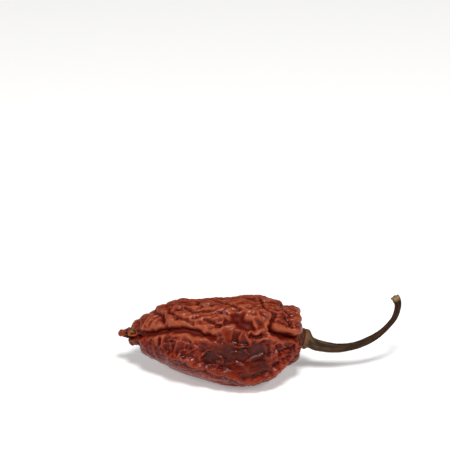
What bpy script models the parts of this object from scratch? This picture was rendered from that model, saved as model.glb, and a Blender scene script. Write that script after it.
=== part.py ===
"""A dried ghost pepper lying on its side: the wrinkled pod, and the calyx with its long curved stem.

Frame: +X runs from the pod's tip to the stem, +Z is up, and the origin is the centre of the small
flat spot that the pod lies on. Angles round the pod are clock angles: 0 degrees faces the front (-Y),
90 the top (+Z), 180 the back (+Y) and -90 the underside.
"""

import bmesh
import bpy
import numpy as np
from mathutils import Vector

MM = 0.001

# ---- The pod's plain form, in millimetres -------------------------------------------------------
# Each rib of the pod: its distance from the tip, its reach to the upper back, and its reach to the
# lower front. The last ribs turn in over the shoulder to the short neck that carries the calyx.
RIBS = (
    (0.0, 0.0, 0.0),
    (0.25, 0.55, 0.65),
    (1.2, 0.95, 1.15),
    (2.7, 1.4, 1.7),
    (3.8, 1.5, 2.5),
    (4.5, 3.3, 2.7),
    (5.6, 4.1, 3.2),
    (6.3, 4.7, 5.0),
    (8.0, 5.5, 6.0),
    (10.0, 6.9, 6.8),
    (12.5, 8.0, 7.9),
    (15.0, 9.3, 9.2),
    (18.0, 10.0, 10.3),
    (22.0, 10.1, 11.3),
    (26.0, 10.5, 12.4),
    (30.0, 10.8, 12.9),
    (34.0, 11.4, 12.8),
    (38.0, 11.3, 12.2),
    (41.0, 10.6, 11.0),
    (43.5, 9.9, 8.9),
    (45.6, 8.7, 7.1),
    (47.3, 8.5, 6.3),
    (48.4, 7.9, 4.7),
    (48.6, 5.0, 3.6),
    (48.3, 3.2, 2.9),
)
NECK_RADIUS = 2.55
NECK_TOP = 49.1  # the neck's end, where the calyx sits, from the tip
REACH_TILT = 30.0  # clock angle that the ribs' two reaches are at right angles to
WIDE, TALL = 1.08, 0.975  # the pod has sunk: it is wider than a round one, and less tall

TIP_BACK, TIP_DROP = 3.4, 1.1  # the pod's axis bends back and down towards the tip
NECK_DROP = 0.5  # and down a little towards the neck
SEAT_TILT = 17.0  # the calyx leans forward-down by this angle
LOBES, LOBE_SWELL, LOBE_AT = 3, 0.035, 78.0

REST_AT = 32.0  # the flat spot's distance from the tip
AXIS_HEIGHT = 11.7  # the axis above the flat spot

# ---- Folds that were placed one by one ----------------------------------------------------------
# name: (route as (distance from the tip, clock angle), half width, depth, lip above, lip below)
# A negative depth is a raised ridge.
FOLDS = {
    "front furrow": (((4.6, 31), (8, 36), (11.5, 42), (15, 45), (19.3, 43), (23, 38), (27, 32)),
                     1.5, 2.4, 0.8, 0.5),
    "tip fold": (((8.3, 115), (9.2, 78), (10.6, 52)), 0.9, 0.9, 0.2, 0.3),
    "pit": (((31.2, 67), (32.6, 57), (33.4, 49), (34.6, 42)), 1.5, 1.7, 0.3, 0.3),
    "pit arm": (((26.3, 53), (29.3, 50), (32.0, 49)), 1.0, 1.0, 0.5, 0.3),
    "collar fold": (((41.7, 89), (41.1, 72), (40.3, 56), (39, 46), (37.6, 40), (35.5, 36)),
                    0.8, -1.0, 0.0, 0.0),
    "small fold": (((36.3, 70), (37.2, 59), (38.2, 49)), 0.7, -0.6, 0.0, 0.0),
    "stem furrow": (((38.8, 48), (41.5, 41), (44.5, 33), (46.3, 29), (49.0, 28)), 1.6, 2.4, 0.5, 0.4),
    "notch": (((44.3, 128), (44.2, 104), (43.6, 84)), 0.9, 0.7, 0.3, 0.0),
    "facet": (((30.8, 31), (32.6, 31)), 1.7, 0.6, 0.0, 0.0),
    "facet edge": (((33.2, 43), (33.9, 31), (34.9, 21), (31.9, 18), (29.4, 21)), 0.6, -0.7, 0.0, 0.0),
    "front hollow": (((21, 1), (26, 3), (31, 4), (36, 4), (40.5, 3)), 3.5, 2.2, 0.0, 0.0),
    "keel": (((11, 2), (15, -2), (19, -12), (25, -16), (30, -22), (34, -29), (38, -28), (43, -26), (47, -15)),
             1.1, -1.5, 0.0, 0.0),
    "shoulder dent": (((42.6, -5), (45.0, -6), (47.2, -2)), 1.1, 0.8, 0.2, 0.2),
    "top furrow": (((8, 120), (15, 131), (24, 138), (33, 141), (43, 134)), 1.6, 2.0, 0.6, 0.5),
    "back furrow": (((12, 182), (19, 176), (27, 184), (35, 178), (42, 186)), 1.5, 1.6, 0.5, 0.5),
    "back hollow": (((18, 208), (28, 212), (38, 207)), 3.2, 1.6, 0.0, 0.0),
    "low furrow": (((6, 246), (14, 238), (23, 243), (32, 236), (41, 241), (47, 236)), 1.3, 1.8, 0.5, 0.5),
}

# ---- Shrinkage wrinkles: nets of creases between sunken cells -----------------------------------
# (cell length along the pod, cells round it, ridge height, cell depth, salt)
CREASE_NETS = ((8.5, 12, 1.0, 0.9, 11), (4.4, 23, 0.4, 0.3, 23))
CROSS_NET = (3.3, 9, 0.9, 0.8, 31)  # on the lower front near the tip the wrinkles run round the pod
CREASE_SHARPNESS = 0.26
WANDER_SIZE, WANDER = 5.5, 1.5  # how far the creases and folds wander, and over what distance
KNOB_SIZE, KNOB_HEIGHT = 2.2, 0.7  # the tip's own small knobs

# ---- The stem, in millimetres from the middle of the neck's end ---------------------------------
STEM_ROUTE = (
    (0.0, 0.0, 0.0),
    (0.8, 0.0, -0.5),
    (1.7, 0.0, -1.2),
    (3.0, 0.0, -1.95),
    (4.4, 0.1, -2.4),
    (7.0, 0.25, -3.0),
    (9.7, 0.5, -3.25),
    (12.3, 0.75, -3.05),
    (15.0, 1.05, -2.4),
    (17.6, 1.45, -1.3),
    (20.3, 1.95, 0.35),
    (22.9, 2.4, 3.0),
    (24.1, 2.6, 4.8),
    (24.9, 2.85, 7.1),
    (25.0, 3.0, 8.9),
    (24.2, 3.2, 10.7),
)
CALYX_GAP = 0.3  # the calyx sits this far off the pod's neck
# (share of the stem's length, radius)
STEM_RADII = (
    (0.0, 2.6), (0.03, 2.65), (0.042, 2.2), (0.062, 1.65), (0.105, 1.5), (0.23, 1.3), (0.31, 1.13), (0.385, 1.0),
    (0.55, 0.9), (0.64, 0.78), (0.745, 0.68), (0.85, 0.74), (0.93, 0.88), (0.975, 1.05), (1.0, 1.1),
)
STEM_RIBS, STEM_RIB_HEIGHT = 5, 0.09

POD_ROWS, POD_COLUMNS = 61, 98
STEM_ROWS, STEM_COLUMNS = 54, 15


def lattice_random(cells, salt):
    """Three pseudo-random numbers from 0 to 1 for each whole-number cell (..., 3), by integer hashing."""
    x, y, z = (cells[..., k].astype(np.uint64) for k in range(3))
    mix = x * np.uint64(0x8DA6B343) + y * np.uint64(0xD8163841) + z * np.uint64(0xCB1AB31F)
    mix = (mix + np.uint64(salt) * np.uint64(0x9E3779B1)) & np.uint64(0xFFFFFFFF)
    for shift, factor in ((16, 0x85EBCA6B), (13, 0xC2B2AE35)):
        mix = ((mix ^ (mix >> np.uint64(shift))) * np.uint64(factor)) & np.uint64(0xFFFFFFFF)
    mix ^= mix >> np.uint64(16)
    tenths = [(mix >> np.uint64(bits)) & np.uint64(1023) for bits in (0, 10, 20)]
    return np.stack(tenths, axis=-1).astype(float) / 1023


def smooth_noise(points, salt):
    """Gradient noise, about -0.7 to 0.7: each lattice corner's random slope, faded between the 8 corners."""
    low = np.floor(points)
    inside = points - low
    fade = inside**3 * (inside * (inside * 6 - 15) + 10)
    total = np.zeros(points.shape[:-1])
    for corner in np.ndindex(2, 2, 2):
        slope = lattice_random((low + corner).astype(np.int64), salt) * 2 - 1
        near = np.where(corner, fade, 1 - fade).prod(axis=-1)
        total += near * (slope * (inside - corner)).sum(axis=-1)
    return total


def crease_cells(along, around, count, salt):
    """(nearest, second nearest) distance, in cells, to one random point in each cell of a lattice on the skin.

    The lattice closes on itself after a whole number of cells round the pod.
    """
    low_x, low_y = np.floor(along), np.floor(around)
    nearest = np.full(along.shape, 9.0)
    second = nearest.copy()
    for step in np.ndindex(3, 3):
        x, y = low_x + step[0] - 1, low_y + step[1] - 1
        spot = lattice_random(np.stack([x, y % count, 0 * x], axis=-1).astype(np.int64), salt)
        away = np.hypot(x + spot[..., 0] - along, y + spot[..., 1] - around)
        second = np.minimum(second, np.maximum(nearest, away))
        nearest = np.minimum(nearest, away)
    return nearest, second


def smoothstep(low, high, value):
    """0 below low, 1 above high, and 3t^2 - 2t^3 between."""
    share = np.clip((value - low) / (high - low), 0, 1)
    return share * share * (3 - 2 * share)


def smooth_curve(route, shares):
    """Points on the Catmull-Rom curve through the route, at shares of its chord length."""
    knots = np.array(route, float)
    steps = np.linalg.norm(np.diff(knots, axis=0), axis=1)
    reached = np.concatenate([[0], np.cumsum(steps)]) / steps.sum()
    slopes = np.gradient(knots, reached, axis=0)
    span = np.clip(np.searchsorted(reached, shares, side="right") - 1, 0, len(steps) - 1)
    width = (reached[span + 1] - reached[span])[:, None]
    t = (shares - reached[span])[:, None] / width
    return (
        (2 * t**3 - 3 * t**2 + 1) * knots[span]
        + (t**3 - 2 * t**2 + t) * width * slopes[span]
        + (3 * t**2 - 2 * t**3) * knots[span + 1]
        + (t**3 - t**2) * width * slopes[span + 1]
    )


def distance_to_route(along, angle, radius, route):
    """(signed distance across, share of the length) from each point of the pod to a route over its skin.

    The skin is unrolled: lengths run along the axis, and clock angles count by the local radius.
    """
    best = np.full(along.shape, 99.0)
    share = np.zeros(along.shape)
    spans = len(route) - 1
    for k, ((x0, a0), (x1, a1)) in enumerate(zip(route, route[1:])):
        turn = (np.degrees(angle) - a0 + 180) % 360 - 180
        dx, dy = along - x0, np.radians(turn) * radius
        ex, ey = x1 - x0, np.radians(a1 - a0) * radius
        t = np.clip((dx * ex + dy * ey) / (ex * ex + ey * ey), 0, 1)
        away = np.hypot(dx - t * ex, dy - t * ey)
        side = np.where(ex * dy - ey * dx < 0, -1.0, 1.0)
        closer = away < np.abs(best)
        best = np.where(closer, away * side, best)
        share = np.where(closer, (k + t) / spans, share)
    return best, share


def fold_relief(along, angle, radius):
    """Height of the folds placed one by one: a bell-shaped groove with a lip on each side, fading at its ends.

    The bell of a hollow wider than 2.5 mm has a flat floor.
    """
    height = np.zeros(along.shape)
    for route, half_width, depth, lip_above, lip_below in FOLDS.values():
        across, share = distance_to_route(along, angle, radius, route)
        ends = smoothstep(0, 0.12, share) * smoothstep(0, 0.12, 1 - share)
        beyond = np.abs(across) / half_width
        groove = -depth * np.exp(-(beyond ** (4 if half_width > 2.5 else 2)))
        lip = np.where(across > 0, lip_above, lip_below) * np.exp(-((beyond - 2.0) / 0.8) ** 2)
        height += (groove + lip) * (0.25 + 0.75 * ends) * np.exp(-np.maximum(0, beyond - 3))
    return height


def crease_relief(along, angle):
    """Height of the crease nets: sharp ridges along the borders of sunken cells."""
    def net(length, count, ridge, dent, salt):
        nearest, second = crease_cells(along / length, angle / (2 * np.pi) * count, count, salt)
        crest = ridge * np.exp(-(second - nearest) / CREASE_SHARPNESS)
        return crest - dent * (1 - np.minimum(nearest, 1) ** 2)

    clock = np.degrees(angle + np.pi) % 360 - 180
    cross = smoothstep(25, 12, along) * smoothstep(38, 24, clock) * smoothstep(-60, -35, clock)
    first, fine = (net(*settings) for settings in CREASE_NETS)
    return first * (1 - 0.75 * cross) + net(*CROSS_NET) * cross + fine


def plain_skin(ribs, angle):
    """(points, distance from the tip, mean radius) of the plain form at ribs (..., 3) and clock angles.

    A rib's radius is the mean of its two reaches, plus half their difference times the sine of the clock
    angle less REACH_TILT, and swells by LOBE_SWELL at each of the lobes.
    """
    along, upper, lower = np.moveaxis(ribs, -1, 0)
    mean_radius = (upper + lower) / 2
    radius = mean_radius + (upper - lower) / 2 * np.sin(angle - np.radians(REACH_TILT))
    body = smoothstep(3, 9, along) * smoothstep(0.3, 1.5, NECK_TOP - along)
    radius = radius * (1 + LOBE_SWELL * body * np.cos(LOBES * (angle - np.radians(LOBE_AT))))
    return place(along, angle, radius), along, mean_radius


def skin_relief(ribs, angle):
    """Height of all folds, creases and knobs over the plain form; nothing rises on the neck or the flat spot."""
    plain, along, mean_radius = plain_skin(ribs, angle)
    wander = [WANDER * smooth_noise(plain / WANDER_SIZE, salt) for salt in (3, 5)]
    wide_radius = np.maximum(mean_radius, 4.0)
    before_neck = smoothstep(0.3, 1.5, NECK_TOP - along)
    relief = fold_relief(along + 0.5 * wander[0], angle + 0.5 * wander[1] / wide_radius, wide_radius)
    relief *= smoothstep(3, 9, along) * before_neck
    size = np.minimum(mean_radius / 8, 1) * smoothstep(2.5, 5.0, along) * before_neck
    relief += crease_relief(along + wander[0], angle + wander[1] / wide_radius) * size
    knobs = KNOB_HEIGHT * smooth_noise(plain / KNOB_SIZE, 41)
    relief += knobs * smoothstep(9, 4, along) * smoothstep(0.2, 1.5, along)
    relief = np.minimum(relief, relief * smoothstep(0.6, 3.0, NECK_TOP - along))
    turn = (angle + 1.5 * np.pi) % (2 * np.pi) - np.pi
    from_rest = np.hypot((along - REST_AT) / 8.0, turn * mean_radius / 5.0)
    return relief * smoothstep(0.5, 1.5, from_rest)


def pod_surface(rows, columns):
    """The pod's skin as a (rows + 1, columns, 3) grid in millimetres, from the tip to the neck's middle.

    Each point moves along the plain form's normal by the mean relief of the nine spots round it, a third
    of a grid step apart.
    """
    shares = np.linspace(0, 1, rows - 3)
    angle = np.linspace(0, 2 * np.pi, columns, endpoint=False)[None, :] + np.zeros((rows - 3, 1))
    relief = np.zeros(angle.shape)
    for row_shift, column_shift in np.ndindex(3, 3):
        near = np.clip(shares + (row_shift - 1) / 3 * shares[1], 0, 1)
        ribs = smooth_curve(RIBS, near)[:, None] + np.zeros((1, columns, 1))
        relief += skin_relief(ribs, angle + (column_shift - 1) / 3 * angle[0, 1]) / 9
    ribs = smooth_curve(RIBS, shares)[:, None] + np.zeros((1, columns, 1))
    plain = plain_skin(ribs, angle)[0]
    body = plain + normals_of(plain) * relief[..., None]
    neck = ((NECK_TOP - 0.9, NECK_RADIUS + 0.25), (NECK_TOP, NECK_RADIUS), (NECK_TOP, NECK_RADIUS / 2))
    neck += ((NECK_TOP, 0.0),)
    rings = [place(along + 0 * angle[:1], angle[:1], radius + 0 * angle[:1]) for along, radius in neck]
    return np.concatenate([body, *rings])


def place(along, angle, radius):
    """Points round the pod's bent axis; the ribs near the neck lean to the calyx's tilt."""
    toward_tip = np.clip((REST_AT - along) / REST_AT, 0, 1) ** 1.5
    y = TIP_BACK * toward_tip - WIDE * radius * np.cos(angle)
    across_z = TALL * radius * np.sin(angle)
    toward_neck = np.clip((along - REST_AT) / (NECK_TOP - REST_AT), 0, 1) ** 1.5
    z = AXIS_HEIGHT - TIP_DROP * toward_tip - NECK_DROP * toward_neck + across_z
    lean = np.tan(np.radians(SEAT_TILT)) * smoothstep(5.5, 3.0, radius) * (along > NECK_TOP - 4)
    return np.stack([along + lean * across_z - REST_AT, y, z], axis=-1)


def normals_of(grid):
    """Outward unit normals of a closed-round grid, from central differences."""
    rise = np.gradient(grid, axis=0)
    around = np.roll(grid, -1, axis=1) - np.roll(grid, 1, axis=1)
    normal = np.cross(rise, around)
    length = np.linalg.norm(normal, axis=-1, keepdims=True)
    return normal / np.maximum(length, 1e-9)


def skin(name, grid, material):
    """An object whose closed mesh is a grid of rings, with the first and last ring drawn to one point.

    Each four-sided cell is split along its shorter diagonal, so that edges follow the folds.
    """
    rings, columns = grid.shape[0] - 2, grid.shape[1]
    points = np.array([grid[0].mean(axis=0), *grid[1:-1].reshape(-1, 3), grid[-1].mean(axis=0)])
    last = len(points) - 1
    faces = []
    for j in range(columns):
        k = (j + 1) % columns
        faces.append((0, 1 + k, 1 + j))
        faces.append((last, last - columns + j, last - columns + k))
        for i in range(rings - 1):
            a, b = 1 + i * columns, 1 + (i + 1) * columns
            corners = (a + j, a + k, b + k, b + j)
            first, second, third, fourth = points[list(corners)]
            if np.linalg.norm(first - third) > np.linalg.norm(second - fourth):
                corners = corners[1:] + corners[:1]
            faces.append((corners[0], corners[1], corners[2]))
            faces.append((corners[0], corners[2], corners[3]))
    mesh = bpy.data.meshes.new(name)
    mesh.from_pydata([Vector(p) * MM for p in points], [], faces)
    mesh.materials.append(material)
    made = bpy.data.objects.new(name, mesh)
    bpy.context.scene.collection.objects.link(made)
    return made


def lay_flat(made):
    """Cuts the flat spot that the pod lies on, at the floor's height, and closes it with one flat face."""
    work = bmesh.new()
    work.from_mesh(made.data)
    geometry = work.verts[:] + work.edges[:] + work.faces[:]
    cut = bmesh.ops.bisect_plane(
        work, geom=geometry, dist=1e-7, plane_co=(0, 0, 0), plane_no=(0, 0, -1), clear_outer=True
    )
    rim = [item for item in cut["geom_cut"] if isinstance(item, bmesh.types.BMEdge)]
    bmesh.ops.contextual_create(work, geom=rim)
    bmesh.ops.recalc_face_normals(work, faces=work.faces[:])
    work.to_mesh(made.data)
    work.free()


def finish_material(name, colour, roughness):
    """A Principled material of one plain colour."""
    material = bpy.data.materials.new(name)
    material.use_nodes = True
    shader = material.node_tree.nodes["Principled BSDF"]
    shader.inputs["Base Color"].default_value = (*colour, 1)
    shader.inputs["Roughness"].default_value = roughness
    shader.inputs["Metallic"].default_value = 0
    material.diffuse_color = (*colour, 1)
    return material


def stem_surface(rows, columns):
    """The calyx and stem as a grid in millimetres: rings carried along STEM_ROUTE, square to it.

    A ring's radius follows STEM_RADII, plus STEM_RIBS shallow ribs that run the stem's length.
    """
    shares = np.linspace(0, 1, rows) ** 1.35
    centres = smooth_curve(STEM_ROUTE, shares)
    ahead = np.gradient(centres, axis=0)
    ahead /= np.linalg.norm(ahead, axis=1, keepdims=True)
    tilt = np.radians(SEAT_TILT)
    seat = np.array([np.cos(tilt), 0, -np.sin(tilt)])
    ahead = seat + (ahead - seat) * smoothstep(0.0, 0.12, shares)[:, None]
    ahead /= np.linalg.norm(ahead, axis=1, keepdims=True)
    side = np.cross(ahead, (0, 1, 0))
    side /= np.linalg.norm(side, axis=1, keepdims=True)
    front = np.cross(ahead, side)
    known, radii = np.array(STEM_RADII).T
    radius = np.interp(shares, known, radii)[:, None]
    angle = np.linspace(0, 2 * np.pi, columns, endpoint=False)[None, :]
    radius = radius + STEM_RIB_HEIGHT * np.cos(STEM_RIBS * angle) * smoothstep(0.03, 0.1, shares)[:, None]
    ring = side[:, None] * np.cos(angle)[..., None] + front[:, None] * np.sin(angle)[..., None]
    grid = centres[:, None] + radius[..., None] * ring
    grid = np.concatenate([centres[:1, None] + 0 * grid[:1], grid, centres[-1:, None] + 0 * grid[:1]])
    base = place(np.array([NECK_TOP]), np.array([0.0]), np.array([0.0]))[0]
    return grid + base + CALYX_GAP * seat


def main():
    for old in list(bpy.data.objects):
        bpy.data.objects.remove(old)
    pod_skin = finish_material("dried pod skin", (0.15, 0.03, 0.016), 0.4)
    stalk = finish_material("dried stem", (0.07, 0.033, 0.019), 0.7)
    lay_flat(skin("pod", pod_surface(POD_ROWS, POD_COLUMNS), pod_skin))
    skin("calyx_stem", stem_surface(STEM_ROWS, STEM_COLUMNS), stalk)


main()
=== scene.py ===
"""The looks of a dried ghost pepper: its shrunken, wrinkled pod, and its calyx and long curved stem.

Lengths are in millimetres until a mesh is made. Clock angles run round the pod: 0 degrees faces the
front (-Y), 90 the top (+Z), 180 the back (+Y) and -90 the underside. A fade is a pair, (where it is 0,
where it is 1), in millimetres or in clock degrees, and smoothstep runs between the two.
"""

import bpy
import numpy as np
from mathutils import Matrix, Vector


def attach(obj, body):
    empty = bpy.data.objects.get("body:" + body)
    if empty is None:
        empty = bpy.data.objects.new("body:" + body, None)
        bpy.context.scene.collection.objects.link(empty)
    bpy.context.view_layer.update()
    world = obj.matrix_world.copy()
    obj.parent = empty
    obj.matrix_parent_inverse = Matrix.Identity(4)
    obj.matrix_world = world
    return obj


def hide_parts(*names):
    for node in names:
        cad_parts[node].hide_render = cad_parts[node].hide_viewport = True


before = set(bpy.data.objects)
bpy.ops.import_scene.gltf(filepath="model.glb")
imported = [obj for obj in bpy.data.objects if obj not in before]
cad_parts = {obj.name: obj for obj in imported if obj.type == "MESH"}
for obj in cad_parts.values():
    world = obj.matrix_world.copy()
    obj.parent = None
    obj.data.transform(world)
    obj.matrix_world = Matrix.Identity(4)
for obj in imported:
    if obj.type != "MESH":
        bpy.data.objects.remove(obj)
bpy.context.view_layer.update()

MM = 0.001

# ---- The pod's plain form: (distance from the tip, reach to the upper back, reach to the lower front) ----
RIBS = (
    (0.0, 0.0, 0.0), (0.2, 0.5, 0.6), (0.9, 0.9, 1.0), (1.6, 0.75, 0.9), (2.2, 0.9, 1.1), (2.9, 1.4, 1.6),
    (3.8, 1.5, 2.5), (4.5, 3.3, 2.7), (5.6, 4.1, 3.2), (6.3, 5.0, 5.0), (8.0, 6.1, 6.0), (10.0, 7.5, 6.8),
    (12.5, 8.5, 7.9), (15.0, 9.6, 9.2), (18.0, 10.0, 10.3), (22.0, 10.1, 11.3), (26.0, 10.5, 12.4),
    (30.0, 10.8, 12.9), (34.0, 11.4, 12.8), (38.0, 11.3, 12.2), (41.0, 10.6, 11.0), (43.5, 9.9, 8.9),
    (45.6, 8.7, 7.1), (47.3, 8.5, 6.3), (48.4, 7.9, 4.7), (48.6, 5.0, 3.6), (48.2, 3.3, 3.0),
)
NECK_RINGS = ((48.3, 2.78), (48.6, 2.66), (48.9, 2.6), (49.08, 2.5), (49.1, 2.3), (49.1, 1.5), (49.1, 0.7))
NECK_TOP = 49.1
REACH_TILT = 30.0  # the upper reach points 30 degrees past the top, and the lower one away from it
WIDE, TALL = 1.08, 0.975
TIP_BACK, TIP_DROP, NECK_DROP = 3.4, 1.1, 0.5  # how far the axis bends back and down at its ends
BEND_POWER = 1.5
SEAT_TILT = 17.0  # the calyx's axis points this many degrees below level, and the neck leans to meet it
LEAN_LENGTH, LEAN_RADII = 4.0, (5.5, 3.0)
LOBES, LOBE_SWELL, LOBE_AT = 3, 0.035, 78.0
LOBES_FROM_NECK = (0.3, 1.5)
REST_AT, AXIS_HEIGHT = 32.0, 11.7  # the flat spot's distance from the tip, and the axis's height over it

# ---- Folds placed one by one: route as (distance from the tip, clock angle), half width, depth, height of
# ---- the lip above and of the lip below, and how far the upper lip leans down over the groove. A negative
# ---- depth is a ridge. ----
FOLDS = {
    "front furrow": (
        ((5.0, 36), (7.2, 36), (9.3, 37), (11.5, 40), (14, 43), (18.4, 43), (22.5, 37), (26.7, 31)),
        1.2, 2.0, 0.1, 0.05, 0.4,
    ),
    "tip fold": (((8.3, 113), (10.0, 82), (11.7, 65), (12.5, 52), (12.0, 40)), 0.9, 0.8, 0.15, 0.15, 0.0),
    "tip ridge": (((7.7, 56), (9.2, 72), (10.6, 78)), 0.45, -0.4, 0.0, 0.0, 0.0),
    "tip bump": (((9.8, 20), (10.8, 20)), 0.9, -0.6, 0.0, 0.0, 0.0),
    "pit": (((31.3, 68), (31.5, 60), (32.6, 52), (34.3, 48), (36.4, 50)), 1.8, 2.1, 0.1, 0.1, 0.3),
    "pit arm": (((27.8, 52), (29.9, 53), (31.9, 53)), 1.1, 1.3, 0.2, 0.1, 0.2),
    "pit ridge": (((36.9, 66), (37.4, 60), (37.7, 54)), 0.4, -0.5, 0.0, 0.0, 0.0),
    "collar fold": (
        ((41.2, 78), (41.3, 70), (40.3, 64), (40.6, 56), (39.4, 51), (39.3, 44), (37.9, 40), (36.4, 37),
         (35.2, 39)),
        0.65, -0.5, 0.0, 0.0, 0.0,
    ),
    "collar furrow": (((41.8, 74), (41.2, 60), (40.8, 48), (40.8, 38)), 0.8, 1.3, 0.0, 0.0, 0.0),
    "nipple crease": (((2.0, -60), (2.5, -5), (2.0, 45), (2.7, 110)), 0.35, 0.5, 0.0, 0.0, 0.0),
    "nipple furrow": (((1.9, 10), (3.2, 4), (4.6, 12), (6.0, 26)), 0.5, 0.9, 0.2, 0.2, 0.0),
    "collar hollow": (((34.8, 35), (36.6, 32), (38.6, 34)), 0.9, 0.9, 0.0, 0.0, 0.0),
    "stem furrow": (((40.3, 44), (41.5, 40), (43.2, 36), (44.8, 34), (46.6, 32), (48.8, 32)),
                    1.0, 2.2, 0.45, 0.3, 0.3),
    "notch": (((45.6, 136), (43.9, 122), (44.9, 108), (43.5, 97), (43.9, 84)), 0.9, 0.6, 0.15, 0.0, 0.0),
    "facet": (((30.4, 33), (32.4, 31)), 2.1, 0.9, 0.0, 0.0, 0.0),
    "facet edge": (((33.7, 41), (33.9, 35), (34.6, 29), (35.1, 21), (33.4, 18), (31.8, 19), (30.0, 22)),
                   0.45, -0.85, 0.0, 0.0, 0.0),
    "front hollow": (((21.5, -3), (25.6, -1), (30.3, 2), (35.5, 2), (41, 3)), 4.3, 1.8, 0.0, 0.0, 0.0),
    "hollow crease": (((40.2, 22), (40.6, 12), (40.5, 0)), 0.45, 0.5, 0.0, 0.0, 0.0),
    "lumps": (((36.4, 27), (37.6, 26), (40.2, 28)), 0.6, -0.5, 0.0, 0.0, 0.0),
    "keel": (
        ((12, -2), (16.7, -4), (18.9, -9), (21.5, -16), (25.6, -20), (29, -21), (33, -29), (36, -32),
         (39, -29), (42.7, -24), (45.5, -18), (47.4, -3)),
        0.9, -0.95, 0.0, 0.0, 0.0,
    ),
    "lobe dent": (((41.8, 12), (44.0, 6), (45.9, 6), (47.1, 15)), 0.7, 0.5, 0.0, 0.0, 0.0),
    "top furrow": (((8, 118), (12, 129), (17, 127), (22, 139), (27, 134), (32, 144), (37, 136), (42, 136)),
                   0.85, 1.6, 0.3, 0.2, 0.3),
    "top branch": (((22, 139), (26, 150), (31, 156)), 0.7, 1.1, 0.2, 0.2, 0.2),
    "back furrow": (((12, 184), (17, 175), (22, 181), (27, 189), (32, 178), (37, 181), (42, 190)),
                    0.85, 1.4, 0.3, 0.2, 0.2),
    "back branch": (((27, 189), (31, 199), (36, 203)), 0.7, 1.0, 0.2, 0.2, 0.2),
    "back hollow": (((18, 208), (28, 214), (38, 209)), 3.4, 1.3, 0.0, 0.0, 0.0),
    "low furrow": (((6, 246), (14, 236), (20, 246), (26, 237), (32, 240), (38, 232), (44, 241)),
                   0.9, 1.5, 0.3, 0.3, 0.2),
}

# ---- Thin creases and thin crests, as routes of the same kind; each kind has one half width and depth ----
THIN_CREASES = (
    ((12.7, 90), (13.7, 72), (15.7, 62), (17.8, 58), (19.6, 54), (20.7, 48)),
    ((16.7, 84), (18.3, 77), (19.8, 70), (22.0, 71), (24.4, 71), (26.4, 74)),
    ((24.3, 102), (27.7, 88), (30.1, 80), (32.5, 70)),
    ((22.8, 57), (24.6, 54), (26.2, 50), (27.8, 46)),
    ((26.7, 66), (29.1, 65), (31.1, 66)),
    ((36.5, 104), (38.4, 88), (38.8, 74)),
    ((44.0, 74), (45.6, 60), (45.9, 48)),
    ((14, 168), (20, 158), (27, 160), (33, 152)),
    ((22, 196), (29, 192), (36, 198)),
    ((12, 222), (19, 226), (26, 222)),
    ((30, 224), (36, 220), (42, 214)),
)
CREASE_HALF_WIDTH, CREASE_DEPTH = 0.5, 0.42
THIN_CRESTS = (
    ((22.0, 0), (23.6, 12), (25.1, 16)),
    ((29.6, 8), (31.0, 11), (32.8, 9)),
    ((34.0, -3), (35.8, 0), (37.6, 2), (39.2, 6)),
    ((25.4, 8), (27.0, 0), (28.0, -9)),
    ((33.8, 13), (35.3, 6)),
    ((28.6, -9), (31.2, -4), (33.6, -12)),
    ((13.4, 22), (14.3, 25), (15.7, 23)),
    ((18.6, 3), (19.6, 8), (20.7, 12)),
    ((13.1, -5), (15.1, -6), (17.0, -5)),
    ((9.0, 50), (10.4, 64), (11.2, 72)),
    ((6.6, 50), (7.6, 64), (8.6, 80)),
    ((20, 204), (24, 212), (29, 208)),
    ((27, 220), (31, 210), (37, 212)),
)
CREST_HALF_WIDTH, CREST_HEIGHT = 0.34, 0.42

# ---- How a fold is shaped ----
FOLD_END, END_DEPTH = 0.12, 0.25  # the share of a route over which it fades, and what is left at its end
FLAT_FLOOR_DEPTH = 1.8  # a groove deeper than this has a flatter floor and steeper walls
LIP_AT, LIP_WIDTH, FOLD_REACH = 2.0, 0.8, 3.0  # in half widths from the middle of the groove
DARK_DEPTH, DARK_HALF_WIDTH = 1.0, 2.5  # a groove deeper and narrower than this is painted dark inside, as shade

# ---- Crease nets: (cell length along the pod, cells round it, crest height, cell dent, salt) ----
CREST_NETS = ((8.5, 12, 0.3, 0.4, 11), (3.6, 25, 0.15, 0.12, 23))
CROSS_NET = (3.3, 9, 0.35, 0.35, 31)
CREST_SHARPNESS = 0.2

# ---- Drawn-out wrinkles: (length, width, height, salt) ----
WRINKLES = ((5.5, 2.0, 0.7, 51), (2.8, 1.1, 0.36, 53), (1.5, 0.7, 0.16, 55))
LENGTHWISE_SHARE, CROSSWISE_SHARE = 0.8, 0.7  # how much of them stands on the crest nets
LENGTHWISE_SALT, CROSSWISE_SALT = 10, 20
WRINKLE_START, FULL_SIZE_RADIUS = (2.5, 6.0), 8  # wrinkles grow with the pod's radius, up to this one
CALM_DEPTH, CALM_IN_GROOVES, CALM_LOW_FRONT, CALM_UNDERSIDE, CALM_HOLLOW = (0.3, 1.5), 0.8, 0.5, 0.6, 0.6
MEAN_OF_FOLDED = 0.18  # the mean of the noise once its negative half is turned up

# ---- Irregularity: everything wanders, and the placed folds also jitter, over these sizes ----
WANDER_SIZE, WANDER, WANDER_SALTS = 6.0, 2.2, (3, 5)
JITTER_SIZE, JITTER, JITTER_SALTS = 2.0, 0.7, (6, 7)
JITTER_WANDER, WRINKLE_WANDER = 0.25, 0.5
THINNEST = 4.0  # routes are unrolled as if the pod were nowhere thinner than this radius

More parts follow.
